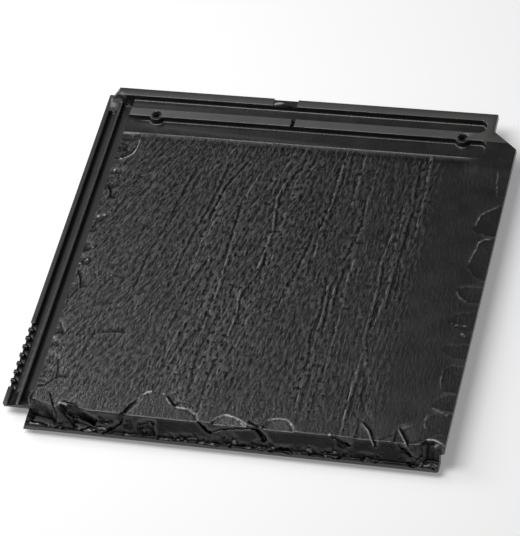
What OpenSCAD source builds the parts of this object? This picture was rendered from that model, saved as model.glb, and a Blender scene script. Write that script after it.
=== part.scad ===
// Flat interlocking clay roof tile, lying face up on its nibs and tail ribs.
// X runs across the roof, Y up the slope from tail to head, Z up. Sizes in millimetres.

/* [Tile] */
// Overall width, outer rail to cover flap edge
tile_w = 500; // [460:1:540]
// Overall length, tail lip to head edge
tile_l = 470; // [430:1:510]
// Thickness of the plate
plate_t = 13; // [11:0.5:15]
// Rounding of the pressed edges
edge_r = 1.2; // [0.6:0.1:2]
// Fillet at the foot of a pressed wall
foot_r = 2.5; // [1:0.1:3]
// Rounding of the tail's right corner in plan
corner_r = 4.5; // [2:0.5:8]

/* [Side lock] */
// Width of the side lock, left of the weather face
side_w = 38.5; // [35:0.5:44]
// Width of the outer rail
rail_w = 6.5; // [5:0.5:8]
// Width of the outer channel
side_groove_w = 8; // [7:0.5:10]
// Width of the inner rail
side_rib_w = 5.2; // [4:0.2:7]
// Depth of both channels
side_d = 6.5; // [5:0.5:8]
// Clay left under the channels
side_floor_t = 6; // [5:0.5:8]
// Lean of the wall from the inner channel up to the weather face
wall_lean = 8; // [4:0.5:10]
// Distance from the tail lip to the end of the side lock
side_gap = 23.5; // [20:0.5:32]
// Height of the chamfer under that end
end_chamfer = 5; // [2:0.5:6]
// Length of the rise of the channel floors at that end
ramp_l = 24; // [15:1:40]
// Height of that rise
ramp_h = 4; // [2:0.5:5]
// Number of notches in the outer rail
notch_n = 8; // [4:1:12]
// Spacing of the notches
notch_pitch = 11.6; // [9.5:0.1:14]
// Width of a notch
notch_w = 7.8; // [5:0.1:9]
// Depth of a notch
notch_d = 6; // [4:0.5:7]
// Distance from the tail lip to the first notch
notch_start = 45; // [38:0.5:55]
// Length of the block that closes the outer channel at the head
block_l = 24; // [15:1:35]

/* [Head lock] */
// Width of the rear rib
rear_rib_w = 10.5; // [8:0.5:13]
// Width of the rear groove
groove1_w = 17.5; // [14:0.5:20]
// Width of the rib with the nail holes
nail_rib_w = 12; // [10:0.5:14]
// Width of the front groove
groove2_w = 24; // [22:0.5:28]
// Depth of both grooves
groove_d = 7.5; // [6:0.5:8.5]
// Distance from the flap edge to the end of the rear groove
groove1_end = 39; // [36:0.5:48]
// Distance from the flap edge to the end of the front groove
groove2_end = 35.5; // [33:0.5:44]
// Corner radius at the end of the front groove
groove2_r = 7; // [5:0.5:10]
// Thickness of the head under the face
head_t = 17.5; // [16:0.5:19]
// Width of the corner cut out of the head at the right
cut_w = 29.5; // [25:0.5:33]
// Length of that cut
cut_l = 25; // [20:0.5:30]
// Length of the slant from that cut to the flap edge
cut_slant = 23.5; // [16:0.5:30]
// Distance from the outer rail to the top of the rear rib's slanted end
slant_top = 16.5; // [13:0.5:20]
// Distance from the outer rail to the bottom of that end
slant_foot = 5.5; // [4:0.5:8]
// Width of the shallow notch in the rear rib
rear_notch_w = 29; // [20:1:40]
// Depth of the shallow notch
rear_notch_d = 2.5; // [1.5:0.5:4]
// Distance from the face's left edge to the shallow notch
rear_notch_x = 167.5; // [150:0.5:190]
// Width of the drain slot across the nail rib
drain_w = 5.2; // [4:0.2:7]
// Depth of the drain slot
drain_d = 5; // [3:0.5:6]
// Distance from the face's left edge to the drain slot
drain_x = 194.5; // [180:0.5:210]

/* [Nail holes] */
// Diameter of the nail holes
nail_d = 5; // [4:0.1:7]
// Diameter of the seat for the nail's head
nail_seat_d = 10.5; // [9:0.5:12]
// Depth of the seat
nail_seat_h = 2.5; // [1.5:0.5:4]
// Distance from the face's left edge to the left nail hole
nail_x = 33; // [25:0.5:40]
// Distance from the flap edge to the right nail hole
nail_end = 63.5; // [60:0.5:75]
// Distance from the head edge to the nail holes
nail_row = 36; // [34:0.5:38]
// Radius of the boss round each hole
boss_r = 9; // [8:0.5:10.5]

/* [Tail] */
// Depth from the weather face to the foot of the lip
tail_h = 27.5; // [25.5:0.5:31]
// Depth of the dressed bevel
bevel_drop = 20; // [16:0.5:23]
// Length of the bevel along the slope
bevel_run = 13; // [9:0.5:17]
// Width of the ledge on top of the lip
lip_ledge = 3; // [2:0.5:5]
// Thickness of the lip at its foot
lip_t = 14; // [12:0.5:17]
// Further thickness of the tail wall where it meets the plate
tail_fill = 10; // [8:0.5:14]
// Thickness of the two ribs behind the lip
tail_rib_t = 8; // [6:0.5:10]
// Distance from the lip to the front groove of the tile below
lap_gap = 2; // [1:0.5:4]
// Clearance of the ribs in the grooves of the tile below
lap_clear = 1; // [0.5:0.1:1.5]

/* [Cover flap] */
// Height of the flap's outer edge
flap_edge = 7; // [5:0.5:9]
// Width of the undercut behind that edge
flap_under = 7; // [4:0.5:8]
// Gap between the flap and the next tile's face
cover_gap = 3; // [2:0.5:5]
// Clearance of the flap over the next tile's rails
cover_clear = 2; // [1:0.5:3]
// Thickness of the flap's ribs at their tips
flap_rib_t = 4; // [3:0.5:5]

/* [Underside] */
// Width of a hanging nib
nib_w = 60; // [40:1:80]
// Thickness of a nib
nib_t = 14; // [11:0.5:17]
// Distance from the nail row to the nib's bearing face
nib_reach = 16; // [13:0.5:18]
// Spacing of the stiffening ribs and the nibs
stiff_pitch = 115; // [95:1:130]
// Width of a stiffening rib at its tip
stiff_t = 9; // [7:0.5:12]
// Draft of the underside ribs and nibs
draft = 2; // [1:0.5:3]

/* [Hidden] */
$fn = 48;
eps = 0.5;
clay = [0.2, 0.2, 0.21];
// levels
rib_drop = groove_d - lap_clear;
top_z = tail_h + rib_drop;
lip_z = rib_drop;
plate_z = top_z - plate_t;
rail_z = plate_z - cover_clear;
floor_z = rail_z - side_d;
under_z = floor_z - side_floor_t;
head_z = top_z - head_t;
groove_z = top_z - groove_d;
bevel_z = top_z - bevel_drop;
ramp_z = floor_z + min(ramp_h, side_d - 1);
// across the tile
left = -tile_w / 2;
right = tile_w / 2;
face_x = left + side_w;
foot_x = face_x - wall_lean;
chan_a0 = left + rail_w;
chan_a1 = chan_a0 + side_groove_w;
chan_c0 = chan_a1 + side_rib_w;
in_x = face_x + 5;
next_x = right + cover_gap - side_w;
body_x = next_x - cover_clear;
flap_a = next_x + rail_w + side_groove_w / 2;
flap_c = next_x + (chan_c0 - left + side_w - wall_lean) / 2;
flap_rib_z = floor_z + 1.5;
// along the tile
tail = -tile_l / 2;
head = tile_l / 2;
edge_y = tail + lip_ledge + bevel_run;
side_end = tail + side_gap;
tail_in = min(tail + lip_t + tail_fill, side_end - eps);
h1 = rear_rib_w;
h2 = h1 + groove1_w;
h3 = h2 + nail_rib_w;
h4 = h3 + groove2_w;
nail_y = head - nail_row;
nail_pitch = tile_w - side_w - nail_x - nail_end;
below_y = tail + lip_t + lap_gap;
tail_rib1_y = below_y + (h4 - nail_row - boss_r) / 2;
tail_rib2_y = below_y + h4 - h2 + groove1_w / 2;
nib_y = nail_y + nib_reach;
// flakes broken from the dressed edge: distance from the face's left edge, drift to the right over
// the bevel's depth, then the outline on the face, x from that place and y from the front edge
flakes = [
    [0, 22, [[-20, 11], [0, 7.5], [4, 4.5], [8, 1], [12, -3], [15, -30], [-20, -30]]],
    [44, 20, [[-17, -30], [-15, 3], [-12, 6.5], [-2, 5], [9, 2.5], [15, -2], [18, -30]]],
    [448, 0, [[-11, -30], [-10, 2], [-7, 6.5], [0, 7], [7, 5], [14, -1], [20, -4], [20, -30]]]
];

// The leaning wall's place at height z.
function wall_x(z) = face_x - wall_lean * (top_z - z) / (top_z - floor_z);

// Closed outline from corners [x, y, radius], each corner rounded as far as its sides allow.
function rounded(path, steps = 4) = [
    for (i = [0:len(path) - 1])
        let (
            n = len(path),
            v = [path[i][0], path[i][1]],
            p = [path[(i + n - 1) % n][0], path[(i + n - 1) % n][1]],
            q = [path[(i + 1) % n][0], path[(i + 1) % n][1]],
            a = (p - v) / norm(p - v),
            b = (q - v) / norm(q - v),
            half = acos(max(-1, min(1, a * b))) / 2,
            t = min(path[i][2] / tan(half), 0.45 * norm(p - v), 0.45 * norm(q - v))
        )
        each (path[i][2] == 0 || half > 88)
            ? [v]
            : let (
                r = t * tan(half),
                c = v + (a + b) / norm(a + b) * r / sin(half),
                s = v + a * t - c,
                e = v + b * t - c,
                sweep = 180 - 2 * half,
                dir = s[0] * e[1] - s[1] * e[0] > 0 ? 1 : -1
            )
            [for (k = [0:steps]) let (w = dir * sweep * k / steps)
                c + [s[0] * cos(w) - s[1] * sin(w), s[0] * sin(w) + s[1] * cos(w)]]
];

// Outline in X and Z, carried along Y from y0 to y1.
module along_y(y0, y1, path) {
    translate([0, y1, 0]) rotate([90, 0, 0]) linear_extrude(y1 - y0) polygon(path);
}

// Outline in Y and Z, carried along X from x0 to x1.
module along_x(x0, x1, path) {
    translate([x0, 0, 0]) rotate([90, 0, 90]) linear_extrude(x1 - x0) polygon(path);
}

// Tapered rib on an underside: centre c, tip thickness t, from z0 at its tip to z1 inside the plate.
function rib_outline(c, t, z0, z1) = rounded([
    [c - t / 2, z0, edge_r], [c + t / 2, z0, edge_r],
    [c + t / 2 + draft, z1, 0], [c - t / 2 - draft, z1, 0]
]);

// Section across the tile: side lock, plate and cover flap.
function tile_section() = rounded([
    [left, under_z, edge_r], [in_x, under_z, edge_r], [in_x + 2 * draft, plate_z, foot_r],
    [right - flap_under, plate_z, foot_r], [right, top_z - flap_edge, edge_r], [right, top_z, edge_r],
    [face_x, top_z, edge_r], [foot_x, floor_z, foot_r], [chan_c0, floor_z, foot_r],
    [chan_c0 - 0.4, rail_z, edge_r], [chan_a1 + 0.4, rail_z, edge_r], [chan_a1, floor_z, foot_r],
    [chan_a0, floor_z, foot_r], [chan_a0 - 0.4, rail_z, edge_r], [left, rail_z, edge_r]
]);

// Half section of a head groove of half width w, with its filleted foot and rounded lip.
function groove_half(w) = concat(
    [[0, groove_z]],
    [for (k = [0:4]) [w - foot_r + foot_r * sin(k * 22.5), groove_z + foot_r - foot_r * cos(k * 22.5)]],
    [for (k = [0:4]) [w + edge_r - edge_r * cos(k * 22.5), top_z - edge_r + edge_r * sin(k * 22.5)]],
    [[w + edge_r, top_z + 2], [0, top_z + 2]]
);

// Both halves of that section about the line y = c.
function groove_section(c, w) = let (h = groove_half(w), n = len(h)) concat(
    [for (p = h) [c + p[0], p[1]]],
    [for (i = [0:n - 1]) [c - h[n - 1 - i][0], h[n - 1 - i][1]]]
);

// Section, tail wall, ribs, nibs and head wall before the pressing of the grooves.
module blank() {
    along_y(tail, head, tile_section());
    // lip at the tail
    along_x(wall_x(lip_z) - 1, right - flap_under, rounded([
        [tail, lip_z, edge_r], [tail + lip_t, lip_z, edge_r],
        [tail_in, plate_z + eps, 0], [tail, plate_z + eps, 0]
    ]));
    // ribs that drop into the head grooves of the tile below
    for (y = [tail_rib1_y, tail_rib2_y])
        along_x(face_x + 14, right - groove1_end - 8, rib_outline(y, tail_rib_t, 0, plate_z + eps));
    // ribs under the flap that drop into the next tile's channels
    for (x = [flap_a, flap_c])
        along_y(tail + lip_t, head, rib_outline(x, flap_rib_t, flap_rib_z, plate_z + eps));
    // thicker head under the grooves
    along_x(in_x, body_x, [
        [head, head_z], [head - h4 - 2, head_z], [head - h4 - 8, plate_z + eps], [head, plate_z + eps]
    ]);
    // stiffening ribs, which also bear on the batten, and a nib behind each outer one
    for (i = [-1:1])
        along_y(tail_rib2_y, nib_y + eps, rib_outline(i * stiff_pitch, stiff_t, under_z, plate_z + eps));
    for (s = [-1, 1])
        along_x(s * stiff_pitch - nib_w / 2, s * stiff_pitch + nib_w / 2, rounded([
            [nib_y, 0, edge_r], [nib_y + nib_t, 0, 3 * edge_r],
            [nib_y + nib_t, head_z + eps, 0], [nib_y, head_z + eps, 0]
        ]));
    // rear rib carried on across the side lock, with a slanted end
    along_y(head - h1, head, [
        [left + slant_foot, floor_z - eps], [left + slant_foot, rail_z], [left + slant_top, top_z],
        [face_x + 4, top_z], [face_x + 4, floor_z - eps]
    ]);
    // block that closes the outer channel
    along_y(head - block_l, head - eps, [
        [chan_a0 - 2, floor_z - eps], [chan_a1 + 2, floor_z - eps], [chan_a1 + 2, rail_z], [chan_a0 - 2, rail_z]
    ]);
    // channel floors rise to the side lock's end
    along_x(left + 1, foot_x + 2, [
        [side_end, floor_z - eps], [side_end + ramp_l, floor_z - eps], [side_end + ramp_l, floor_z + 0.05],
        [side_end, ramp_z]
    ]);
}

// Rear groove: straight run open into the side channel, round at its right end.
module rear_groove() {
    w = groove1_w / 2;
    x1 = right - groove1_end - w;
    y = head - h1 - w;
    along_x(foot_x - 1, x1, groove_section(y, w));
    translate([x1, y, 0]) rotate([0, 0, -90]) rotate_extrude(angle = 180) polygon(groove_half(w));
}

// Front groove: wider, with two rounded corners at its right end, kept off the nail bosses.
module front_groove() {
    w = groove2_w / 2;
    r = groove2_r;
    x1 = right - groove2_end - r;
    y = head - h3 - w;
    difference() {
        union() {
            along_x(foot_x - 1, x1, groove_section(y, w));
            translate([x1, 0, 0]) along_y(y - w + r, y + w - r, groove_half(r));
            for (s = [-1, 1])
                translate([x1, y + s * (w - r), 0]) rotate([0, 0, s < 0 ? -90 : 0])
                    rotate_extrude(angle = 90) polygon(groove_half(r));
        }
        for (x = [face_x + nail_x, face_x + nail_x + nail_pitch])
            translate([x, nail_y, 0]) rotate_extrude() polygon(concat(
                [[0, groove_z - 1], [boss_r + foot_r, groove_z - 1]],
                [for (k = [0:4]) [boss_r + foot_r - foot_r * sin(k * 22.5), groove_z + foot_r - foot_r * cos(k * 22.5)]],
                [for (k = [0:4]) [boss_r - edge_r + edge_r * cos(k * 22.5), top_z - edge_r + edge_r * sin(k * 22.5)]],
                [[boss_r - edge_r, top_z + 3], [0, top_z + 3]]
            ));
    }
}

// Nail hole with the seat for the nail's head.
module nail_hole(x) {
    translate([x, nail_y, head_z - 1]) cylinder(h = head_t + 3, d = nail_d);
    translate([x, nail_y, top_z - nail_seat_h]) cylinder(h = nail_seat_h + 1, d = nail_seat_d);
}

// Flake broken from the dressed edge: its outline on the face, carried down the bevel with its drift.
module flake(x, drift, outline) {
    rx = -asin(bevel_run / norm([drift, bevel_run, bevel_drop]));
    ry = -atan(drift / bevel_drop);
    translate([face_x + x, edge_y, top_z]) rotate([rx, ry, 0]) translate([0, 0, -3 * bevel_drop])
        linear_extrude(5 * bevel_drop)
            polygon([for (p = outline) [p[0] * cos(ry), p[0] * sin(rx) * sin(ry) + p[1] * cos(rx)]]);
}

// The whole tile, fired as one piece.
module roof_tile() {
    color(clay) difference() {
        blank();
        // side lock ends short of the tail, where the leaning wall runs down to the lip's foot
        along_y(tail - 1, side_end, [
            [left - 1, -1], [wall_x(-1), -1], [wall_x(top_z + 1), top_z + 1], [left - 1, top_z + 1]
        ]);
        along_x(left - 1, wall_x(under_z), [
            [side_end - 1, under_z - 1], [side_end + 1.5 * end_chamfer, under_z - 1],
            [side_end + 1.5 * end_chamfer, under_z], [side_end, under_z + end_chamfer],
            [side_end - 1, under_z + end_chamfer]
        ]);
        // corner cut out of the head at the right
        translate([0, 0, -1]) linear_extrude(top_z + 2) polygon([
            [right + 1, head + 1], [right - cut_w, head + 1], [right - cut_w, head - cut_l],
            [right, head - cut_l - cut_slant], [right + 1, head - cut_l - cut_slant]
        ]);
        // the head's edge at that cut is undercut as the flap's edge is
        along_y(head - cut_l, head + 1, [
            [right - cut_w - flap_under, plate_z - 1], [right - cut_w - flap_under, plate_z],
            [right - cut_w, top_z - flap_edge], [right - cut_w + 1, top_z - flap_edge],
            [right - cut_w + 1, plate_z - 1]
        ]);
        // rounded corner at the tail's right
        translate([right - flap_under - corner_r, tail + corner_r, -1]) difference() {
            translate([0, -corner_r - 1, 0]) cube([corner_r + 1, corner_r + 1, top_z + 2]);
            translate([0, 0, -1]) cylinder(h = top_z + 4, r = corner_r);
        }
        // dressed bevel at the tail
        along_x(left - 1, right + 1, [
            [tail - 1, bevel_z], [tail + lip_ledge, bevel_z], [edge_y, top_z],
            [edge_y + 2 * bevel_run / bevel_drop, top_z + 2], [tail - 1, top_z + 2]
        ]);
        for (f = flakes) intersection() {
            flake(f[0], f[1], f[2]);
            translate([left, tail - 1, bevel_z]) cube([tile_w + 1, tile_l, tile_l]);
        }
        rear_groove();
        front_groove();
        for (x = [face_x + nail_x, face_x + nail_x + nail_pitch]) nail_hole(x);
        // notches in the outer rail
        for (i = [0:notch_n - 1])
            translate([left - 1, tail + notch_start + i * notch_pitch, rail_z - min(notch_d, side_d - 0.5)])
                cube([rail_w + 1.5, notch_w, side_d + 2]);
        // shallow notch in the rear rib, drain slot in the nail rib
        translate([face_x + rear_notch_x, head - h1 - 2, top_z - rear_notch_d])
            cube([rear_notch_w, h1 + 3, rear_notch_d + 1]);
        translate([face_x + drain_x, head - h3 - 2, top_z - drain_d])
            cube([drain_w, nail_rib_w + 4, drain_d + 1]);
    }
}

roof_tile();
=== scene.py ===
# Flat interlocking clay roof tile with a riven slate face, lying face up on its nibs and tail ribs.
import math

import bpy
import numpy as np
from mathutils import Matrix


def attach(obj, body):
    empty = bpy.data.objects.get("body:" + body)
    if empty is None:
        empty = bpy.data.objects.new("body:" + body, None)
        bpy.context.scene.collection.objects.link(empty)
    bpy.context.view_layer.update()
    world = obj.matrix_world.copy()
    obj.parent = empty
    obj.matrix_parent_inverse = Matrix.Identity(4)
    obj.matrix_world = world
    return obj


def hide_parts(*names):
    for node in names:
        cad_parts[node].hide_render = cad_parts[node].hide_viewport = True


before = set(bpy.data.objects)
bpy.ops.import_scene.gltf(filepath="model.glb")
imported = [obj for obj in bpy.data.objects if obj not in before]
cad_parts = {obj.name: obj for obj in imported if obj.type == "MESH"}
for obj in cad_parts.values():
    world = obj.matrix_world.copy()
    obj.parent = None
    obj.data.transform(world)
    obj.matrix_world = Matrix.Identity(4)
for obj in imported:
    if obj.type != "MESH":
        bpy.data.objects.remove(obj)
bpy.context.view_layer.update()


# VIEW
# A long lens about three metres off, in front of the tail and to its right,
# looks down on the face with the picture's upright side tipped a little to the left.
CAMERA_PLACE = (0.8740, -1.8201, 2.4966)
CAMERA_TURN = (38.2089, 9.6995, 13.7425)
LENS_MM, SENSOR_MM = 192.887, 36.0

bpy.ops.object.camera_add(location=CAMERA_PLACE, rotation=[math.radians(a) for a in CAMERA_TURN])
camera = bpy.context.object
camera.data.sensor_fit = "AUTO"
camera.data.sensor_width = SENSOR_MM
camera.data.lens = LENS_MM
bpy.context.scene.camera = camera


# PRESSED BLANK
# The tile is one pressed piece of clay: plate, side lock, head grooves, nail seats, flap and
# under-ribs leave the press together. It starts as a welded copy of the pressed shape.
WELD = 0.00001

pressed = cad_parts["roof_tile"]
tile = bpy.data.objects.new("slate_faced_tile", pressed.data.copy())
bpy.context.scene.collection.objects.link(tile)
bpy.ops.object.select_all(action="DESELECT")
tile.select_set(True)
bpy.context.view_layer.objects.active = tile
bpy.ops.object.mode_set(mode="EDIT")
bpy.ops.mesh.select_all(action="SELECT")
bpy.ops.mesh.remove_doubles(threshold=WELD)
bpy.ops.object.mode_set(mode="OBJECT")


# SLATE FACE
# The weather face and the dressed tail copy a riven slate: the press plate that shapes them was
# cast from split stone. Here that plate is a fine grid, moved to the stone's heights, closed into
# a block and cut out of the blank.

# Sizes in millimetres; u runs from the face's left edge, v from its front edge towards the head.
FACE_LEFT, FACE_FRONT, FACE_TOP = -211.5, -219.0, 34.0
FACE_L = 388.3
BEVEL_RUN, BEVEL_DROP = 13.0, 20.0
PLATE_TOP = 60.0
# Lines of the grid: places across and along, and the number of lines up to each; they stand closer
# together at the knocked edges and the dressed tail.
ACROSS, ACROSS_LINES = (-14.0, 26.0, 430.0, 475.5), (0, 48, 358, 390)
ALONG, ALONG_LINES = (-21.0, 6.0, 36.0, FACE_L), (0, 38, 68, 228)


def grain(a, b, seed):
    """Smooth noise from -1 to 1, about one bump for each unit of a and b.

    Below, a layer of it is a height times grain(across / width, along / length, seed).
    """
    i, j = np.floor(a).astype(np.int64), np.floor(b).astype(np.int64)
    x, y = a - i, b - j

    def corner(di, dj):
        h = ((i + di) * 374761393 + (j + dj) * 668265263 + seed * 974634777) & 0xFFFFFFFF
        h = ((h ^ (h >> 13)) * 1274126177) & 0xFFFFFFFF
        w = (h ^ (h >> 16)) * (2 * math.pi / 2 ** 32)
        return np.cos(w) * (x - di) + np.sin(w) * (y - dj)

    s, t = x * x * x * (x * (6 * x - 15) + 10), y * y * y * (y * (6 * y - 15) + 10)
    near = corner(0, 0) * (1 - s) + corner(1, 0) * s
    far = corner(0, 1) * (1 - s) + corner(1, 1) * s
    return 1.5 * (near * (1 - t) + far * t)


def ease(a, b, x):
    """0 at a, 1 at b, with a soft start and end."""
    t = np.clip((x - a) / (b - a), 0, 1)
    return t * t * (3 - 2 * t)


def to_line(points, u, v):
    """Distance to a line of points, share of it passed at the nearest place, side: 1 right, -1 left."""
    best, along, side = np.full(u.shape, np.inf), np.zeros(u.shape), np.ones(u.shape)
    for k, ((u0, v0), (u1, v1)) in enumerate(zip(points, points[1:])):
        du, dv = u1 - u0, v1 - v0
        t = np.clip(((u - u0) * du + (v - v0) * dv) / (du * du + dv * dv), 0, 1)
        d = np.hypot(u - u0 - t * du, v - v0 - t * dv)
        along = np.where(d < best, (k + t) / (len(points) - 1), along)
        side = np.where(d < best, np.sign((u - u0) * dv - (v - v0) * du), side)
        best = np.minimum(best, d)
    return best, along, side


def into(outline, u, v):
    """Distance into a closed outline, below 0 outside it."""
    ring = list(outline) + [outline[0]]
    within = np.zeros(u.shape, bool)
    for (u0, v0), (u1, v1) in zip(ring, ring[1:]):
        if v0 != v1:
            within ^= ((v0 > v) != (v1 > v)) & (u < u0 + (u1 - u0) * (v - v0) / (v1 - v0))
    return np.where(within, 1, -1) * to_line(ring, u, v)[0]


def lower(a, b, width):
    """The lower of two heights, rounded over where they cross."""
    t = np.clip(0.5 + 0.5 * (b - a) / width, 0, 1)
    return b * (1 - t) + a * t - width * t * (1 - t)


bpy.ops.object.select_all(action="DESELECT")
columns, rows = ACROSS_LINES[-1], ALONG_LINES[-1]
bpy.ops.mesh.primitive_grid_add(x_subdivisions=columns, y_subdivisions=rows, size=1)
plate = bpy.context.object
flat = np.empty(len(plate.data.vertices) * 3)
plate.data.vertices.foreach_get("co", flat)
flat = flat.reshape(-1, 3)
column = np.rint((flat[:, 0] + 0.5) * columns).astype(int)
row = np.rint((flat[:, 1] + 0.5) * rows).astype(int)
u, v = np.interp(column, ACROSS_LINES, ACROSS), np.interp(row, ALONG_LINES, ALONG)


# Ground of the stone: fine threads that lean to the right on the left of the face, run up the slope
# in its middle and lean back a little on its right, over low stairs and broken by pits.
STAIR_RISE, STAIR_EDGE = 0.16, 0.15
PIT_DEPTH, PIT_FROM, PIT_FULL = 0.9, 0.36, 0.62
LEFT_TURN, MIDDLE_TURN, RIGHT_TURN = 26, 12, 0


def threads(turn, seed):
    """Pits and heights of stone whose threads are turned by so many degrees."""
    c, s = math.cos(math.radians(turn)), math.sin(math.radians(turn))
    across, along = u * c - v * s, u * s + v * c
    across = (across + 2.0 * grain(across / 22, along / 46, seed)
              + 0.6 * grain(across / 6, along / 9, seed + 1))
    fine = (0.22 * grain(across / 1.8, along / 9, seed + 2)
            + 0.24 * grain(across / 3.8, along / 24, seed + 3))
    chips = 0.11 * grain(across / 2.4, along / 2.8, seed + 6)
    pits = PIT_DEPTH * ease(PIT_FROM, PIT_FULL, grain(across / 2.7, along / 6.5, seed + 7))
    stair = 1.5 * grain(across / 24, along / 110, seed + 4) + 0.7 * grain(across / 8, along / 24, seed + 5)
    tread = np.floor(stair)
    return pits, fine + chips + STAIR_RISE * (tread + ease(0.0, STAIR_EDGE, stair - tread))


on_left, on_right = ease(130, 70, u), ease(235, 300, u)
on_middle = np.clip(1 - on_left - on_right, 0, 1)
boldness = 1 + 0.15 * on_left - 0.35 * on_right
relief, pitting = np.zeros(u.shape), np.zeros(u.shape)
for share, turn, seed in (
        (on_left, LEFT_TURN, 10), (on_middle, MIDDLE_TURN, 30), (on_right, RIGHT_TURN, 50)):
    pits, ground = threads(turn, seed)
    relief = relief + boldness * np.sqrt(share) * ground
    pitting = pitting + share * pits

# Clefts: edges of split layers that run up the face. Each has a strength, then the places that it
# passes; the stone steps up to the right across the first group and down across the second.
RISES = (
    (0.7, (35, 225), (36, 255), (52, 303), (65, 352)),
    (0.7, (30, 72), (44, 120), (60, 160), (58, 200), (64, 252)),
    (1.0, (76, 96), (84, 122), (75, 170), (78, 214), (95, 278)),
    (0.7, (110, 186), (113, 220), (118, 238)),
    (0.7, (113, 46), (134, 86), (140, 120), (154, 156)),
    (0.7, (112, 4), (124, 28), (143, 46), (152, 80)),
    (0.7, (114, 322), (117, 338), (143, 386)),
    (0.7, (116, 198), (122, 250), (138, 314)),
    (0.7, (125, 172), (135, 200), (140, 266), (149, 299)),
    (1.0, (130, 196), (134, 258), (143, 320), (164, 365)),
    (0.7, (136, 60), (149, 113), (158, 132), (160, 182)),
    (1.0, (164, 114), (168, 182), (167, 307), (178, 349)),
    (0.7, (174, 47), (176, 97), (189, 148)),
    (0.7, (178, 294), (191, 326), (206, 359), (210, 386)),
    (0.7, (188, 5), (189, 54), (206, 98), (214, 161)),
    (1.0, (194, 106), (197, 146), (193, 185)),
    (1.0, (206, 198), (210, 258), (204, 310), (212, 354), (224, 386)),
    (0.7, (202, 138), (212, 168), (220, 232)),
    (0.7, (216, 236), (220, 292), (237, 366)),
    (0.7, (220, 308), (222, 344), (232, 386)),
    (0.7, (242, 161), (254, 214), (260, 265)),
    (1.0, (266, 222), (264, 267), (268, 314), (270, 385)),
    (0.7, (292, 132), (293, 155), (289, 210)),
    (0.7, (292, 293), (293, 386)),
    (0.7, (293, 18), (290, 70), (293, 90), (290, 116)),
    (1.0, (299, 130), (298, 194)),
    (0.7, (303, 230), (311, 279), (308, 316), (310, 366)),
    (0.7, (312, 60), (312, 156), (309, 194), (312, 236)),
    (1.0, (347, 6), (346, 62), (348, 94)),
    (0.7, (344, 118), (346, 186), (342, 236), (348, 280)),
    (0.7, (356, 86), (350, 128), (358, 204), (354, 224), (352, 318)),
    (1.0, (372, 270), (371, 336), (367, 386)),
)
FALLS = (
    (0.7, (38, 15), (39, 86), (48, 122)),
    (0.7, (56, 194), (58, 240), (66, 270), (88, 346)),
    (1.0, (72, 165), (75, 214), (86, 262), (100, 349)),
    (1.0, (112, 188), (120, 250), (128, 284), (138, 356)),
    (0.7, (122, 76), (124, 106), (133, 157)),
    (0.7, (128, 170), (142, 204), (159, 260), (164, 298)),
    (1.0, (132, 270), (141, 322), (161, 364)),
    (0.7, (134, 82), (142, 118), (155, 149), (154, 200), (164, 220), (165, 300)),
    (1.0, (139, 66), (152, 106), (163, 128), (166, 182)),
    (0.7, (166, 84), (177, 142), (186, 192)),
    (0.7, (170, 19), (167, 74), (170, 90)),
    (0.7, (171, 156), (172, 234), (186, 302)),
    (0.7, (184, 8), (187, 57), (192, 120)),
    (1.0, (194, 103), (200, 138), (196, 172), (208, 200), (212, 256)),
    (1.0, (212, 264), (207, 310), (221, 362)),
    (0.7, (236, 146), (252, 219), (256, 266)),
    (1.0, (263, 272), (267, 316)),
    (0.7, (272, 250), (269, 280), (274, 352)),
    (0.7, (289, 34), (290, 104), (285, 125), (290, 160), (286, 205)),
    (0.7, (295, 16), (295, 58), (300, 103)),
    (0.7, (298, 128), (294, 194), (299, 212)),
    (0.7, (300, 227), (308, 282), (306, 314)),
    (1.0, (303, 164), (301, 180), (304, 231)),
    (0.7, (308, 14), (309, 66), (311, 94)),
    (0.7, (349, 5), (350, 48), (352, 92)),
    (0.7, (356, 88), (349, 130), (348, 203), (344, 237)),
    (0.7, (360, 170), (362, 310), (357, 380)),
    (0.7, (364, 5), (359, 60), (356, 86)),
)
RISE, FALL, PIT = 0.68, 1.15, 1.1
# Half width of a step, how far it reaches, and half width of the split ground round it.
STEP_W, STEP_REACH, SPLIT_W = 0.7, 2.8, 9
# Mean depth of the stone under the blank's face, its limits, and its depth where it runs out at the
# head and on the plain right side.
STONE_DEPTH, SHALLOWEST, DEEPEST = 1.15, 0.06, 3.0
HEAD_DEPTH, SIDE_DEPTH = 0.35, 0.05
painted_marks, split = np.zeros(u.shape), np.zeros(u.shape)
past_left = ease(60, 130, u)
for up, clefts in ((1, RISES), (-1, FALLS)):
    for n, (strength, *places) in enumerate(clefts):
        line_u, line_v = zip(*places)
        seed = 200 + 10 * n + 5 * up
        lane = np.full(v.shape, float(n))
        off = (u - np.interp(v, line_v, line_u) - grain(v / 8, lane, seed)
               - 0.5 * grain(v / 3, lane, seed + 1))
        held = ease(line_v[0] - 5, line_v[0] + 8, v) * ease(line_v[-1] + 5, line_v[-1] - 8, v)
        split = np.maximum(split, held * np.exp(-(off / SPLIT_W) ** 2))
        held = held * strength * (0.8 + 0.6 * grain(v / 13, lane, seed + 2)) * (0.75 + 0.25 * past_left)
        rise = RISE if up > 0 else -FALL
        relief = relief + 0.5 * rise * held * np.tanh(off / STEP_W) * np.exp(-np.abs(off) / STEP_REACH)
        if up > 0:
            # A painted highlight along each rising edge.
            edge_highlight = (0.38 + 0.12 * on_right) * held * np.exp(-(off / 0.8) ** 2)
            painted_marks = painted_marks + edge_highlight * (0.5 + 0.5 * past_left)
        else:
            pits = ease(0.05, 0.45, grain(v / 5.0, lane, seed + 3)) * ease(100, 160, u) * ease(370, 320, u)
            relief = relief - PIT * pits * held * np.exp(-(off / 1.1) ** 2)

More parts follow.
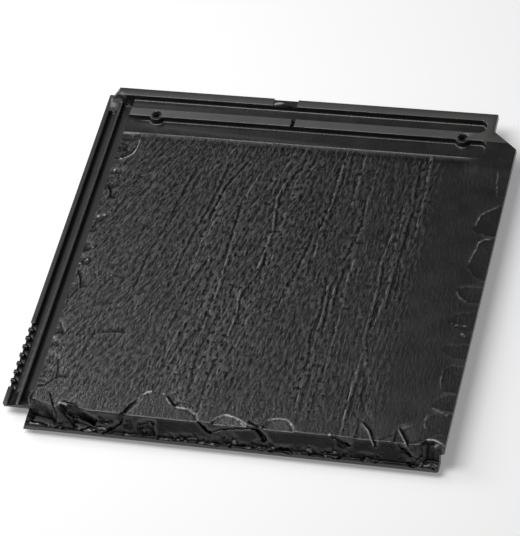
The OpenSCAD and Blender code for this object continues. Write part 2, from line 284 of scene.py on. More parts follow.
near_cleft = 0.75 * split * ease(90, 140, u) * (1 - 0.45 * on_right)
relief = relief - pitting * (0.35 * (1 - 0.7 * on_right) + near_cleft)
fullness = 0.86 * (1 - 0.92 * ease(370, 396, u)) * (0.55 + 0.45 * ease(0, 60, v))
rear_fade = ease(FACE_L, FACE_L - 8, v)
right_fade = ease(400, 424, u) * ease(FACE_L - 50, FACE_L - 12, v)
depth = np.clip(STONE_DEPTH - relief * fullness, SHALLOWEST, DEEPEST)
depth = HEAD_DEPTH * (1 - rear_fade) + depth * (0.3 + 0.7 * rear_fade)
depth = depth * (1 - right_fade) + SIDE_DEPTH * right_fade

# Knocked edges: flakes lost from the stone's left and right sides, each an outline and a depth.
FLAKES = (
    (((-20, 345), (0, 347), (8, 349), (14, 352), (20, 358), (22.5, 365), (22, 395), (-20, 395)), 0.8),
    (((-20, 364), (4, 363), (12, 361), (12, 386), (-20, 386)), 0.8),
    (((-20, 299), (6, 303), (12, 307), (12.5, 320), (12, 333), (5, 332), (-20, 327)), 1.1),
    (((-20, 236), (7, 241), (12, 250), (18, 268), (15, 268.5), (8, 264), (-20, 260)), 0.9),
    (((-20, 206), (5, 212), (9, 216), (6, 224), (-20, 226)), 1.2),
    (((-20, 186), (3, 190), (12, 194), (16, 203), (10, 205), (-20, 200)), 1.0),
    (((-20, 140), (5, 146), (11, 160), (6, 174), (0, 186), (-20, 188)), 1.1),
    (((-20, 92), (7, 96), (10, 99), (6, 108), (0, 114), (-20, 116)), 1.0),
    (((-20, 72), (6, 76), (11, 82), (8, 88), (-20, 90)), 1.0),
    (((-20, 22), (6, 24), (14, 30), (18, 38), (18, 48), (14, 60), (8, 70), (-20, 76)), 1.0),
    (((480, 325), (459, 323), (446, 315), (439, 307), (437, 296), (433, 291), (441, 283), (480, 279)),
     0.24),
    (((480, 277), (459, 277), (446, 273), (443, 262), (440, 248), (439, 236), (452, 222), (480, 215)),
     0.24),
    (((480, 190), (456, 188), (446, 190), (438, 196), (433, 205), (446, 210), (480, 208)), 0.24),
    (((480, 176), (452, 175), (437, 170), (432, 160), (446, 152), (480, 150)), 0.18),
    (((480, 134), (452, 131), (436, 129), (433, 122), (447, 114), (480, 112)), 0.18),
    (((480, 104), (448, 103), (440, 98), (440, 85), (443, 71), (480, 66)), 0.22),
    (((480, 63), (452, 66), (440, 58), (437, 50), (448, 46), (480, 44)), 0.22),
    (((480, 40), (450, 43), (440, 38), (433, 26), (446, 16), (480, 15)), 0.20),
)
RIPPLE_H = 0.12
for n, (outline, drop) in enumerate(FLAKES):
    warped_u = u + 0.9 * grain(u / 6, v / 6, 70 + n)
    warped_v = v + 0.9 * grain(u / 6, v / 6, 90 + n)
    inner = into(outline, warped_u, warped_v)
    ripple = RIPPLE_H * np.sin(v + 3 * grain(u / 9, v / 9, 110 + n)) * ease(1, 5, inner) * ease(200, 100, u)
    depth = depth + ease(-0.3, 0.7, inner) * (drop * (0.55 + 0.45 * ease(0, 14, inner)) + ripple)

# Spalls above the dressed edge: shallow scales sprung from the face, sloping down to the bevel. Each
# has an outline, its drop at the rim and its drop at the front; its ground is smoother than the face.
SPALLS = (
    (((104, -14), (107, -7), (112, 6), (117, 18), (124, 29), (131, 34), (144, 31), (152, 24), (160, 17),
      (164, 15.5), (176, 14.6), (187, 9), (196, -14)), 0.15, 0.9),
    (((204, -14), (207, 3), (211, 8), (217, 12.5), (225, 11.5), (234, 8.5), (243, 4), (252, -1),
      (256, -14)), 0.35, 1.8),
    (((258, -14), (263, 6), (270, 12.5), (280, 15), (288, 13.5), (294, 8), (298, 0), (300, -14)), 0.3, 1.2),
    (((28, -14), (30, 5), (33, 7), (42, 5.3), (53, 2), (60, -1), (66, -14)), 0.1, 0.3),
    (((362, -14), (364.8, 22.5), (371, 18.5), (376, 13.6), (382, 6), (386.4, -3), (388, -14)), 0.0, 0.8),
    (((404, -14), (405.8, 21), (412, 12), (417, 5), (421, -2), (424, -14)), 0.0, 0.9),
    (((437, -14), (438, 4), (441, 7.5), (448, 7.8), (454, 5.8), (459, 1), (480, -6), (480, -14)), 0.4, 1.8),
)
SPALL_SMOOTH, SPALL_DEPTH = 0.6, 0.95
wobble_u, wobble_v = u + 0.6 * grain(u / 7, v / 7, 130), v + 0.6 * grain(u / 7, v / 7, 131)
for outline, rim_drop, front_drop in SPALLS:
    inner = into(outline, wobble_u, wobble_v)
    rear_v = max(p[1] for p in outline)
    sloped = rim_drop + (front_drop - rim_drop) * np.clip((rear_v - v) / (rear_v + 2), 0, 1)
    smooth = ease(0.0, 4.0, inner)
    depth = (depth * (1 - SPALL_SMOOTH * smooth) + SPALL_DEPTH * SPALL_SMOOTH * smooth
             + sloped * ease(0.0, 0.8, inner))

# Cracks on the face, where the ground on the right of the way steps down, with a raised lip on its left:
# darkness (the depth and the painted shade on the low side), light on the lip (its height and a painted
# highlight on it), length over which the ground comes back, then the places passed.
CRACKS = (
    (1.0, 0.0, 10, (27.3, -2.8), (24, 4), (19.8, 12.2), (13.7, 21)),
    (1.0, 0.1, 10, (18.5, 38), (17.6, 48), (14, 59), (9, 69)),
    (1.0, 0.1, 10, (11, 161), (8, 172), (3, 182), (-2, 188)),
    (1.0, 0.1, 10, (10, 290), (8, 301), (0, 311)),
    (0.6, 0.0, 10, (12, 307), (12, 333)),
    (0.6, 0.0, 10, (10, 95), (7, 103), (1, 113)),
    (1.8, 0.0, 1, (102, -5), (108, 6), (113, 15), (119, 24)),
    (1.0, 0.0, 10, (54, 2.5), (48, 5.5), (40, 7), (32, 8.3)),
    (1.2, 0.3, 14, (162, 16), (156, 20.5), (151, 26), (147, 30.5)),
    (1.3, 0.0, 14, (258, 0), (251, 4), (244, 7)),
    (1.2, 0.9, 14, (386, -3), (383, 2), (380.5, 7), (377, 12.5), (371, 18.5), (365, 22.5)),
    (1.2, 0.9, 14, (422, -2), (419, 3), (415.5, 8.5), (411, 15), (407, 21)),
    (0.6, 0.2, 10, (79, 106.5), (66, 105), (56, 103.5), (47, 100)),
    (0.4, 0.0, 10, (262, 4), (266, 10), (272, 13.5)),
    (0.8, 0.0, 10, (436, -3), (437.5, 4), (441, 8)),
)
# Depth of a crack and height of its lip, places of the lip, its painted highlight and its painted shade,
# and half widths; SHADE is the strength of the painted shade.
CRACK_DROP, CRACK_LIP = 0.8, 0.35
LIP_AT, LIP_W = -1.1, 0.9
HIGHLIGHT_AT, HIGHLIGHT_W = -1.2, 0.8
SHADE_AT, SHADE_W, SHADE = 0.3, 0.9, 1.2
# Rims with a painted highlight, and below 0 the walls of flakes with a painted shadow: strength, half
# width, then the places passed.
RIMS = (
    (1.0, 0.75, (30, 6.4), (36, 5.4), (42, 4.2)),
    (-1.6, 2.2, (39, 2.6), (46, 2.2), (51, 0.8), (57, -1.0), (62, -3.0)),
    (-1.4, 1.8, (-1, 7), (3, 5), (9.5, 2.6), (15.5, 0), (20, -4), (24, -8)),
    (1.0, 0.85, (122, 26.5), (126, 31), (132, 33.4)),
    (0.9, 0.85, (144, 31.5), (146, 30)),
    (0.5, 0.85, (148, 27), (152, 22), (156, 18)),
    (1.0, 0.85, (160, 16.8), (166, 15), (174, 14.6)),
    (0.25, 0.85, (176, 14.6), (184, 11)),
    (0.9, 0.85, (216, 12.4), (224, 11.6), (232, 9), (239, 6)),
    (1.2, 1.5, (235, 6.5), (240, 4), (245, 1.5)),
    (0.2, 0.85, (205, 2), (210, 7), (216, 12)),
    (0.55, 0.85, (268, 12.5), (276, 14.4), (286, 14.6), (292, 10), (296, 4)),
    (0.9, 0.85, (444, 3.6), (449, 2.8), (456, 3)),
    (0.4, 0.85, (438, 5), (441, 7.6), (448, 8), (454, 6), (458, 2)),
    (1.0, 0.85, (336, 3.5), (337, -0.5)),
    (1.0, 0.85, (-3, 346.5), (8, 348.6), (14, 352), (20, 358), (22.5, 366), (22, 384)),
    (0.8, 0.85, (-2, 328), (4, 331), (8, 333)),
    (0.9, 0.85, (-3, 260.5), (8, 263.5), (14, 266.5), (18, 270)),
    (0.6, 0.85, (1, 223), (6, 220), (12, 219)),
    (0.8, 0.85, (5, 198), (10, 202.5), (16, 203.4)),
    (0.9, 0.85, (0, 197), (5, 191)),
    (0.5, 0.85, (-1, 154), (4, 151)),
    (0.6, 0.85, (-2, 79), (10, 76.5)),
    (0.5, 0.85, (-3, 92), (4, 90)),
    (0.45, 0.85, (459, 323), (450, 317.5), (444, 313), (439, 307), (438, 301), (437, 294), (433, 290)),
    (0.45, 0.85, (459, 277), (450, 275), (445, 271), (444, 262), (441, 250), (439, 238)),
    (0.40, 0.85, (433, 205), (436, 198), (441, 192), (448, 189.5)),
    (0.40, 0.85, (440, 99), (440, 85), (443, 71)),
    (0.35, 0.85, (447, 374), (449, 355), (453, 334)),
    (0.55, 0.85, (448, 148), (456, 142)),
    (0.40, 0.85, (434, 160), (446, 156), (456, 158)),
    (0.40, 0.85, (437, 48), (446, 44), (458, 40)),
    (0.40, 0.85, (436, 40), (433, 30), (437, 20)),
)
RIM_RISE = 0.30
for dark, light, tail, *places in CRACKS:
    off, at, side = to_line(places, wobble_u, wobble_v)
    held = ease(1.0, 0.7, at) * ease(1.4, 0.6, np.where((at > 0) & (at < 1), 0, off))
    off = off * side
    bold = max(dark, 1.0)
    foot_at = 0.5 * bold ** 2
    fallen = ease(-0.4 * bold ** 2, foot_at, off) * np.exp(-np.clip(off - foot_at, 0, None) / tail)
    lip = CRACK_LIP * light * np.exp(-((off - LIP_AT) / LIP_W) ** 2)
    depth = depth + held * (CRACK_DROP * dark * bold * fallen - lip)
    shade = np.exp(-((off - SHADE_AT) / (SHADE_W * bold)) ** 2)
    painted_marks = painted_marks + held * (light * np.exp(-((off - HIGHLIGHT_AT) / HIGHLIGHT_W) ** 2) - SHADE * dark * shade)
for light, width, *places in RIMS:
    off, at = to_line(places, wobble_u, wobble_v)[:2]
    held = light * ease(0, 0.15, at) * ease(1, 0.85, at) * (0.85 + 0.6 * grain(u / 3.5, v / 3.5, 132))
    painted_marks = painted_marks + held * np.exp(-(off / width) ** 2)
    depth = depth - RIM_RISE * held * np.clip(1 - off / (1.5 * width), 0, 1)
# Least and greatest depth of the finished face under the blank's.
THIN, THICK = 0.02, 5
depth = np.clip(depth, THIN, THICK)

# Dressed tail: the steep bevel, with the flakes that broke from it, the crevices between its scales
# and the crumbled stone at its foot. A place on it is a distance from the left edge and a drop from
# the face.
# Each flake: distance from the left edge, drift to the right over the bevel, outline on the face.
BROKEN = (
    (0, 22, ((-20, 11), (0, 7.5), (4, 4.5), (8, 1), (12, -3), (15, -30), (-20, -30))),
    (44, 20, ((-17, -30), (-15, 3), (-12, 6.5), (-2, 5), (9, 2.5), (15, -2), (18, -30))),
    (448, 0, ((-11, -30), (-10, 2), (-7, 6.5), (0, 7), (7, 5), (14, -1), (20, -4), (20, -30))),
)
# Each crevice: strength of its painted shade (which also deepens the foot), depth, half width at its start
# and end, places.
CREVICES = (
    (1.0, 5, 1.2, 2.8, (28, 2.6), (29, 7.4), (26, 13.3)),
    (1.0, 12, 2.0, 4.2, (43, 1.3), (52, 2.3), (60, 4.4), (67, 7.5), (76, 11.1)),
    (0.7, 4, 1.6, 1.6, (-2, 16.5), (8, 15.6), (15, 17.9), (19, 19.5)),
    (1.0, 5, 1.2, 2.4, (106, 0), (105, 3.4), (104, 8.3), (96, 13.2), (88, 16.8)),
    (0.6, 3, 1.4, 1.8, (125, 7.2), (133, 4.6), (141, 4.1), (140, 10.7), (142, 19)),
    (1.0, 5, 1.2, 2.4, (191, 0), (195, 2.8), (201, 7.4), (207, 9)),
    (0.8, 3, 1.0, 1.4, (252, 1.0), (239, 2.0), (225, 3.4), (216, 4.8), (208, 8.4)),
    (1.0, 6, 1.6, 3.4, (252, 0), (258, 2.0), (264, 7.4), (265, 12)),
    (0.6, 3, 1.4, 2.6, (340, 1.5), (346, 2.0), (354, 4.2), (360, 8)),
    (0.8, 3, 1.2, 1.2, (387, 0), (387, 3), (387, 7.5)),
    (0.6, 3, 2.0, 2.4, (414, 2.6), (420, 5.5), (427, 13)),
    (0.8, 4, 1.2, 1.6, (437, 0), (437, 4.4), (435, 10.1), (431, 14)),
)
# Crumbled hollows: middle, drop there, half length, half height and depth.
HOLLOWS = (
    (8, 14, 12, 4, 0.8), (85, 7.5, 15, 5, 1.2), (112, 9, 7, 7, 0.8), (131, 12, 11, 8, 1.0),
    (226, 15, 12, 7, 1.0), (265, 15, 10, 6, 1.1), (287, 18, 12, 3, 0.9), (310, 18, 10, 3, 0.9),
    (353, 6, 10, 6, 1.0), (376, 16, 12, 4, 0.6), (420, 6, 8, 5, 1.0),
)
# Crumbs with rounded tops that tip forward: from, to, and height above the lip, below 0 when they lie
# sunk in it.
CRUMBS = (
    (-3, 10, 0.9), (59, 69, -0.9), (65, 75, 2.6), (76, 88, 3.0), (106, 114, -0.7), (145, 162, -0.9),
    (167, 180, 0.8), (179, 192, 2.4), (190, 200, -0.7), (200, 210, -1.0), (229, 234, 4.2), (242, 255, -1.0),
    (271, 277, 1.8), (310, 318, 4.0), (328, 336, 1.2), (339, 346, 4.6), (354, 361, 1.6), (374, 382, 1.2),
    (433, 443, 0.6), (440, 455, 1.8),
)
# Forward tip, depth and rounding of a crumb, and the strength of the painted highlight on its top.
CRUMB_TIP, CRUMB_DEEP, CRUMB_ROUND, CRUMB_HIGHLIGHT = 0.30, 2.6, 0.8, 0.55
# How far a flake lies inside the blank's own, the slope of its wall, the deepest cut in it, and the
# step in which its outline is carried down the bevel.
FLAKE_IN, FLAKE_WALL, FLAKE_CUT, FLAKE_STEP = 0.3, 3.0, 2.0, 0.25
# The bevel inside the blank's own, its mean roughness, and the lip inside the blank's.
BEVEL_IN, BEVEL_ROUGH, LIP_IN = 0.3, 0.45, 0.1
# Depth of the crumbling and of a crevice at the foot, and the strength of the painted shade along the lip.
FOOT_CRUMBLE, FOOT_CREVICE, LIP_SHADE = 2.0, 2.6, 0.75
slope = BEVEL_DROP / BEVEL_RUN
reach = math.hypot(1, slope)
down = np.clip(-v, 0, BEVEL_RUN)
rough = 0.6 * grain(u / 16, v / 9, 140) + 0.15 * grain(u / 5, v / 4, 141)
holes = ease(0.02, 0.30, grain(u / 9, v / 5, 142) + 0.35 * grain(u / 3.5, v / 3, 143))
at_foot = ease(-8.0, -11.0, v) * ease(-0.40, 0.10, grain(u / 24, v / 40, 144))
crumble = FOOT_CRUMBLE * at_foot * holes
crevice, sunk, cut_in = np.zeros(u.shape), np.zeros(u.shape), np.zeros(u.shape)
shaken_u = u + 0.8 * grain(u / 5, v / 4, 145)
shaken_d = reach * (down + 0.5 * grain(u / 5, v / 4, 146))
on_bevel = ease(1.0, -1.0, v)
for dark, deep, start, end, *places in CREVICES:
    off, at = to_line([(a, reach * b / slope) for a, b in places], shaken_u, shaken_d)[:2]
    width = start + (end - start) * at
    held = on_bevel * ease(1.25 * width, 0.5 * width, off) * ease(1.0, 0.92, at)
    crevice, cut_in = np.maximum(crevice, dark * held), np.maximum(cut_in, deep * held)
pebbles = 1 + 0.6 * grain(u / 5, v / 3, 147) + 0.7 * grain(u / 2.8, v / 1.9, 148)
for middle, fallen, half_l, half_h, deep in HOLLOWS:
    bowl = 1 - ((shaken_u - middle) / half_l) ** 2 - ((slope * shaken_d / reach - fallen) / half_h) ** 2
    sunk = np.maximum(sunk, on_bevel * deep * np.clip(bowl, 0, 1) * pebbles)
bevel = FACE_TOP - BEVEL_IN - BEVEL_ROUGH * (1 + rough) + np.clip(v, -BEVEL_RUN, None) * slope
foot = FACE_TOP - BEVEL_DROP - LIP_IN - crumble - FOOT_CREVICE * crevice
cut_in = np.maximum(cut_in, crumble) + reach * sunk
# Painted shade in the crumbled holes at the foot.
crevice = np.maximum(crevice, 0.7 * at_foot * holes)
for begin, stop, tall in CRUMBS:
    held = ease(begin - 1.0, begin + 1.5, shaken_u) * ease(stop + 1.0, stop - 1.5, shaken_u)
    held = held * (0.45 + 0.55 * ease(-0.30, 0.15, grain(u / 3.2, v / 2.2, 155)))
    front = -BEVEL_RUN + tall / slope
    back = front + CRUMB_DEEP * held + 0.8 * grain(u / 3.4, v / 30, 149)
    dome = np.clip((2 * shaken_u - begin - stop) / (stop - begin), -1, 1) ** 2
    crown = (FACE_TOP - BEVEL_DROP + tall - CRUMB_ROUND * dome + CRUMB_TIP * (v - front)
             + 0.5 * grain(u / 3.4, v / 2.6, 151))
    over = ease(back + 0.35, back - 0.35, v) * ease(front - 3.0, front - 1.5, v) * ease(0.1, 0.6, held)
    cut_in = (1 - over) * cut_in + over * np.clip(bevel - crown, 0, None)
    foot = foot + over * np.minimum(crown - foot, 0)
    # Painted shade in the gap behind each crumb, and a painted highlight on its top.
    gap = 0.8 * held * np.exp(-((v - back - 0.4) / 0.7) ** 2)
    crevice = np.maximum(crevice * (1 - over), gap * (1 - over))
    painted_marks = painted_marks + CRUMB_HIGHLIGHT * over * held * (1 - 0.8 * dome)
# Painted shade along the lip, less where a highlight is already painted.
painted_marks = painted_marks - LIP_SHADE * ease(-12.6, -13.6, v) * ease(1.0, 0.3, painted_marks)
bevel = np.maximum(bevel - cut_in, foot)
# Painted shade in the crumbled hollows.
crevice = np.maximum(crevice, 0.22 * np.clip(sunk, 0, 1.6))
edge_round = 0.12 + 0.10 * grain(u / 9, v / 40, 152)
height = lower(FACE_TOP - depth, bevel, edge_round)
dents = 0.5 + 0.35 * grain(u / 7, v / 4, 153) + 0.25 * grain(u / 3, v / 2, 154)
for n, (flake_u, drift, outline) in enumerate(BROKEN):
    here = np.flatnonzero((v < 20) & (np.abs(u - flake_u - drift / 2) < 50))
    at_u = u[here] + 0.7 * grain(u[here] / 11, v[here] / 8, 150 + n) - flake_u
    at_v = v[here] + 0.7 * grain(u[here] / 11, v[here] / 8, 170 + n)
    broken = np.full(here.shape, np.inf)
    for fall in np.arange(0, BEVEL_DROP + FLAKE_STEP / 2, FLAKE_STEP):
        outside = np.clip(-into(outline, at_u - drift * fall / BEVEL_DROP, at_v + fall / slope), 0, None)
        broken = np.minimum(broken, FACE_TOP - fall - FLAKE_IN - dents[here] + FLAKE_WALL * outside)
    broken = np.maximum(broken - np.minimum(cut_in[here], FLAKE_CUT), foot[here])
    height[here] = lower(height[here], broken, 0.35)

# Painted light and shade, from -1 in a hollow to 1 on an edge: painted shade where a place stands below
# what surrounds it and a painted highlight where it stands above, less on steep walls, with the painted
# highlights and shadows of the marks and the painted shade of crevices. The values are the height that
# gives the full paint, the most that height alone gives, and the weights of marks and crevices.
FULL_PAINT_MM, MOST_PAINTED_HIGHLIGHT, MARK, CREVICE_SHADE = 0.20, 0.30, 1.1, 1.3
stone, painted_marks_grid, crevice_shade_grid = np.empty((3, rows + 1, columns + 1))
stone[row, column], painted_marks_grid[row, column], crevice_shade_grid[row, column] = height, painted_marks, crevice
around = stone
for stride in (1, 2):
    for axis in (0, 1):
        padded = np.pad(around, [(stride, stride) if k == axis else (0, 0) for k in (0, 1)], mode="edge")
        count = around.shape[axis]
        around = sum(np.take(padded, range(k, k + count), axis) for k in (0, stride, 2 * stride)) / 3
lines_u = np.interp(np.arange(columns + 1), ACROSS_LINES, ACROSS)
lines_v = np.interp(np.arange(rows + 1), ALONG_LINES, ALONG)
steep = np.hypot(np.gradient(stone, lines_u, axis=1), np.gradient(stone, lines_v, axis=0))
painted_light = np.minimum((stone - around) / FULL_PAINT_MM * (1 - 0.8 * ease(0.5, 1.1, steep)), MOST_PAINTED_HIGHLIGHT)
painted_light = np.clip(painted_light + MARK * painted_marks_grid - CREVICE_SHADE * crevice_shade_grid, -1, 1)

# The plate takes these heights, is closed into a block and cut out of the blank. Faces with more than four
# corners are then split into triangles, so that none folds over.
SHARP_TURN = 40
moved = np.column_stack((FACE_LEFT + u, FACE_FRONT + v, height)) / 1000
plate.data.vertices.foreach_set("co", moved.ravel())
bpy.ops.object.mode_set(mode="EDIT")
bpy.ops.mesh.select_all(action="SELECT")
bpy.ops.mesh.extrude_region_move(TRANSFORM_OT_translate={"value": (0, 0, PLATE_TOP / 1000)})
bpy.ops.transform.resize(value=(1, 1, 0))
bpy.ops.mesh.dissolve_faces()
bpy.ops.mesh.select_all(action="SELECT")
bpy.ops.mesh.normals_make_consistent(inside=False)
bpy.ops.object.mode_set(mode="OBJECT")
bpy.ops.object.select_all(action="DESELECT")
tile.select_set(True)
bpy.context.view_layer.objects.active = tile
cut = tile.modifiers.new("slate press plate", "BOOLEAN")
cut.operation, cut.solver, cut.object = "DIFFERENCE", "EXACT", plate
bpy.ops.object.modifier_apply(modifier=cut.name)
bpy.data.objects.remove(plate)
bpy.ops.object.shade_smooth_by_angle(angle=math.radians(SHARP_TURN))
even = tile.modifiers.new("flat faces stay flat", "WEIGHTED_NORMAL")
even.keep_sharp = True
bpy.ops.object.modifier_apply(modifier=even.name)
facets = tile.modifiers.new("large faces in triangles", "TRIANGULATE")
facets.min_vertices, facets.ngon_method, facets.keep_custom_normals = 5, "BEAUTY", True
bpy.ops.object.modifier_apply(modifier=facets.name)

# Only places on the stone are riven and carry the painted light and shade; its right side and the tail are
# less dry than the face.
ON_STONE_MM = 0.02
RIGHT_DRY, TAIL_DRY = 0.5, 0.35
points = np.empty(len(tile.data.vertices) * 3)
tile.data.vertices.foreach_get("co", points)
points = points.reshape(-1, 3) * 1000
from_left, from_front = points[:, 0] - FACE_LEFT, points[:, 1] - FACE_FRONT
column = np.rint(np.interp(from_left, ACROSS, ACROSS_LINES)).astype(int)
row = np.rint(np.interp(from_front, ALONG, ALONG_LINES)).astype(int)
on_stone = np.abs(points[:, 2] - stone[row, column]) < ON_STONE_MM
on_stone &= np.hypot(from_left - lines_u[column], from_front - lines_v[row]) < ON_STONE_MM
riven = tile.data.attributes.new("riven", "FLOAT", "POINT")
dryness = np.where(from_front > 0, 1 - RIGHT_DRY * ease(372, 398, from_left), TAIL_DRY)
riven.data.foreach_set("value", np.where(on_stone, dryness, 0.0).astype(np.float32))
painted_light_layer = tile.data.attributes.new("painted_light", "FLOAT", "POINT")
painted_light_layer.data.foreach_set("value", np.where(on_stone, painted_light[row, column], 0.0).astype(np.float32))
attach(tile, "root")
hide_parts("roof_tile")


# FIRED CLAY WITH A SATIN ANTHRACITE SLIP
# The pressed clay is sprayed with a dark clay slip and fired, which gives the eye a near-black satin skin:
# a soft sheen on level places and a fine dry grain. Thin light lines on edges are a painted highlight, and
# hollows and crevices carry painted shade.
# The third colour is a painted highlight on edges and rib tops, the fourth a painted shade in hollows.
SLIP_DARK, SLIP_LIGHT, SLIP_HIGHLIGHT, SLIP_SHADE = "#1e1e1e", "#272726", "#b4b4b2", "#050505"
# Width of the mottling, width and length of the streaks, and width of the grit. Real grit is finer
# and would not show in the render, so it is drawn this coarse.
MOTTLE_MM, STREAK_MM, STREAK_L_MM, GRIT_MM = 30.0, 2.2, 9.0, 2.2
GRIT_H, STREAK_H = 0.00027, 0.00056
# Tops of the head ribs, painted lighter as a painted sheen.
RIBS_FROM_Y, RIB_TOP_Z, RIB_EDGE, RIB_SHEEN_PAINT = 0.1945, 0.0340, 0.0008, 0.15
# Share of light mirrored: on the stone, in its hollows, and how much of it is left low on the tile,
# where less of the spray came down.
SHEEN, SHEEN_HOLLOW, SHEEN_LOW = 0.53, 0.29, 0.66
LOW_Z, LOW_END_Z = 0.0150, 0.0175
# Roughness where the mottling is low and high, and the index of refraction.
SMOOTH, ROUGH, SLIP_IOR = 0.22, 0.29, 1.5
MOTTLE_LOW, MOTTLE_HIGH = 0.3, 0.7
# Share of the streaks in the tone, tones that are all dark and all light, the power that thins the painted
# highlights on edges, the painted value at which the painted shade of a hollow (and its dullness) is full,
# and the share of the grain on plain clay.
STREAK_SHARE, TONE_FROM, TONE_TO = 0.5, 0.55, 0.95
HIGHLIGHT_POWER, HOLLOW_AT, PLAIN_GRAIN = 2.2, -0.8, 0.12


def linear(code):
    """sRGB hex to a linear colour."""
    parts = [int(code[k:k + 2], 16) / 255 for k in (1, 3, 5)]
    return [p / 12.92 if p <= 0.04045 else ((p + 0.055) / 1.055) ** 2.4 for p in parts] + [1.0]


def add(tree, kind, settings=(), **inputs):
    """A node with its settings; each input is a value or another node's output."""
    node = tree.nodes.new(kind)
    for name, value in dict(settings).items():
        setattr(node, name, value)
    for name, value in inputs.items():
        socket = node.inputs[int(name[1:]) if name[1:].isdigit() else name.replace("_", " ")]
        if isinstance(value, bpy.types.NodeSocket):
            tree.links.new(value, socket)
        else:
            socket.default_value = value
    return node


slip = bpy.data.materials.new("Fired clay, satin anthracite slip")
slip.use_nodes = True
tree = slip.node_tree
skin = tree.nodes["Principled BSDF"]
where = add(tree, "ShaderNodeTexCoord").outputs["Object"]
mottle = add(tree, "ShaderNodeTexNoise", Vector=where, Scale=1000 / MOTTLE_MM, Detail=3.0, Roughness=0.6)
drawn = add(tree, "ShaderNodeMapping", Vector=where,
            Scale=(1000 / STREAK_MM, 1000 / STREAK_L_MM, 1000 / STREAK_MM))
streak = add(tree, "ShaderNodeTexNoise", Vector=drawn.outputs["Vector"], Scale=1.0, Detail=2.0,
             Roughness=0.5)
grit = add(tree, "ShaderNodeTexNoise", Vector=where, Scale=1000 / GRIT_MM, Detail=2.0, Roughness=0.6)
mixed = add(tree, "ShaderNodeMath", {"operation": "MULTIPLY_ADD"}, _0=streak.outputs["Fac"],
            _1=STREAK_SHARE, _2=mottle.outputs["Fac"])
tone = add(tree, "ShaderNodeValToRGB", Fac=mixed.outputs["Value"])
for stop, position, code in zip(tone.color_ramp.elements, (TONE_FROM, TONE_TO), (SLIP_DARK, SLIP_LIGHT)):
    stop.position, stop.color = position, linear(code)
# The painted light and shade of the stone, carried on the mesh.
painted_light_here = add(tree, "ShaderNodeAttribute", {"attribute_name": "painted_light"}).outputs["Fac"]
above = add(tree, "ShaderNodeMapRange", Value=painted_light_here)
crest_highlight = add(tree, "ShaderNodeMath", {"operation": "POWER"}, _0=above.outputs["Result"],
            _1=HIGHLIGHT_POWER)
axes = add(tree, "ShaderNodeSeparateXYZ", Vector=where)
# Painted sheen on the tops of the head ribs.
behind = add(tree, "ShaderNodeMath", {"operation": "GREATER_THAN"}, _0=axes.outputs["Y"], _1=RIBS_FROM_Y)
raised = add(tree, "ShaderNodeMapRange", Value=axes.outputs["Z"], From_Min=RIB_TOP_Z - RIB_EDGE,
             From_Max=RIB_TOP_Z, To_Max=RIB_SHEEN_PAINT)
rib_top_sheen = add(tree, "ShaderNodeMath", {"operation": "MULTIPLY"}, _0=behind.outputs["Value"],
              _1=raised.outputs["Result"])
highlight_paint = add(tree, "ShaderNodeMath", {"operation": "MAXIMUM"}, _0=crest_highlight.outputs["Value"],
          _1=rib_top_sheen.outputs["Value"])
# How deep a hollow is: it sets the painted shade and dulls the sheen.
shade_and_dullness = add(tree, "ShaderNodeMapRange", Value=painted_light_here, From_Min=0.0, From_Max=HOLLOW_AT)
# The painted highlights, then the painted shade of hollows, laid over the slip's tone.
highlighted = add(tree, "ShaderNodeMix", {"data_type": "RGBA"}, Factor=highlight_paint.outputs["Value"],
             _6=tone.outputs["Color"], _7=linear(SLIP_HIGHLIGHT))
shaded_paint = add(tree, "ShaderNodeMix", {"data_type": "RGBA"}, Factor=shade_and_dullness.outputs["Result"],
             _6=highlighted.outputs[2], _7=linear(SLIP_SHADE))
tree.links.new(shaded_paint.outputs[2], skin.inputs["Base Color"])
sheen = add(tree, "ShaderNodeMapRange", Value=mottle.outputs["Fac"], From_Min=MOTTLE_LOW,
            From_Max=MOTTLE_HIGH, To_Min=SMOOTH, To_Max=ROUGH)
tree.links.new(sheen.outputs["Result"], skin.inputs["Roughness"])
skin.inputs["IOR"].default_value = SLIP_IOR
dull = add(tree, "ShaderNodeMapRange", Value=shade_and_dullness.outputs["Result"], To_Min=SHEEN,
           To_Max=SHEEN_HOLLOW)
thin = add(tree, "ShaderNodeMapRange", Value=axes.outputs["Z"], From_Min=LOW_Z, From_Max=LOW_END_Z,
           To_Min=SHEEN_LOW, To_Max=1.0)
gleam = add(tree, "ShaderNodeMath", {"operation": "MULTIPLY"}, _0=dull.outputs["Result"],
            _1=thin.outputs["Result"])
tree.links.new(gleam.outputs["Value"], skin.inputs["Specular IOR Level"])
riven_here = add(tree, "ShaderNodeAttribute", {"attribute_name": "riven"}).outputs["Fac"]
grained = add(tree, "ShaderNodeMapRange", Value=riven_here, To_Min=PLAIN_GRAIN, To_Max=1.0)
gritty = add(tree, "ShaderNodeBump", Height=grit.outputs["Fac"], Strength=grained.outputs["Result"],
             Distance=GRIT_H)
drag = add(tree, "ShaderNodeBump", Height=streak.outputs["Fac"], Strength=grained.outputs["Result"],
           Distance=STREAK_H, Normal=gritty.outputs["Normal"])
tree.links.new(drag.outputs["Normal"], skin.inputs["Normal"])
tile.data.materials.clear()
tile.data.materials.append(slip)


# TABLE AND LIGHT
# A plain white table. A long softbox above and to the left lights the rims and the feet of the walls,
# one at the left rakes the stone, a large dim one behind gives level places their sheen.
TABLE_WHITE, TABLE_ROUGH = "#e9e9e9", 0.9
TABLE_SIZE, TABLE_GAP = 30.0, 0.0001
# White added where the table is seen: little near the tile, so that its shadow stays, and full far off.
TABLE_LIFT, NEAR_M, FAR_M = 0.25, 0.9, 4.0
ROOM_LEVEL = 0.08

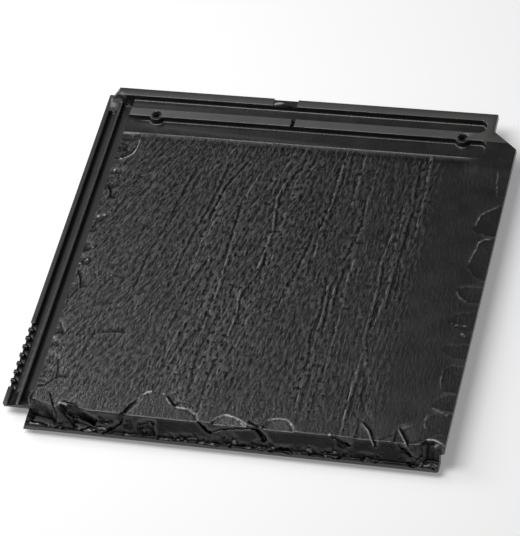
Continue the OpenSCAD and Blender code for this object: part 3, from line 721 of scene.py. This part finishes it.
bpy.ops.object.select_all(action="DESELECT")
bpy.ops.mesh.primitive_plane_add(size=TABLE_SIZE, location=(0, 0, -TABLE_GAP))
table = bpy.context.object
table.name = "white_table"
table_white = bpy.data.materials.new("White painted table")
table_white.use_nodes = True
tree = table_white.node_tree
paint = tree.nodes["Principled BSDF"]
paint.inputs["Base Color"].default_value = linear(TABLE_WHITE)
paint.inputs["Roughness"].default_value = TABLE_ROUGH
paint.inputs["Specular IOR Level"].default_value = 0.0
seen = add(tree, "ShaderNodeLightPath")
bent = add(tree, "ShaderNodeMath", {"operation": "MAXIMUM"}, _0=seen.outputs["Is Glossy Ray"],
           _1=seen.outputs["Is Transmission Ray"])
direct = add(tree, "ShaderNodeMath", {"operation": "MAXIMUM"}, _0=seen.outputs["Is Camera Ray"],
             _1=bent.outputs["Value"])
floor_at = add(tree, "ShaderNodeTexCoord").outputs["Object"]
spread = add(tree, "ShaderNodeVectorMath", {"operation": "LENGTH"}, _0=floor_at)
level = add(tree, "ShaderNodeMapRange", Value=spread.outputs["Value"], From_Min=NEAR_M, From_Max=FAR_M,
            To_Min=TABLE_LIFT, To_Max=1.0)
lift = add(tree, "ShaderNodeMath", {"operation": "MULTIPLY"}, _0=direct.outputs["Value"],
           _1=level.outputs["Result"])
paint.inputs["Emission Color"].default_value = (1, 1, 1, 1)
tree.links.new(lift.outputs["Value"], paint.inputs["Emission Strength"])
table.data.materials.append(table_white)

# Each softbox: name, place, width, length, watts; it faces the tile.
SOFTBOXES = (
    ("overhead softbox", (-0.50, -0.15, 1.75), 0.7, 1.3, 23.0),
    ("left softbox", (-1.95, 0.65, 1.56), 1.2, 1.2, 21.0),
    ("back softbox", (-1.05, 1.05, 1.70), 1.0, 1.0, 2.7),
)
for name, stand, width, length, watts in SOFTBOXES:
    bpy.ops.object.light_add(type="AREA", location=stand)
    lamp = bpy.context.object
    lamp.data.shape = "RECTANGLE"
    lamp.name, lamp.data.size, lamp.data.size_y, lamp.data.energy = name, width, length, watts
    tip = math.atan2(math.hypot(stand[0], stand[1]), stand[2])
    lamp.rotation_euler = (tip, 0, math.atan2(stand[0], -stand[1]))

room = bpy.data.worlds.new("White room")
bpy.context.scene.world = room
room.use_nodes = True
tree = room.node_tree
tree.nodes["Background"].inputs["Color"].default_value = (1, 1, 1, 1)
tree.nodes["Background"].inputs["Strength"].default_value = ROOM_LEVEL
bpy.context.scene.view_settings.view_transform = "Standard"


bpy.context.view_layer.update()
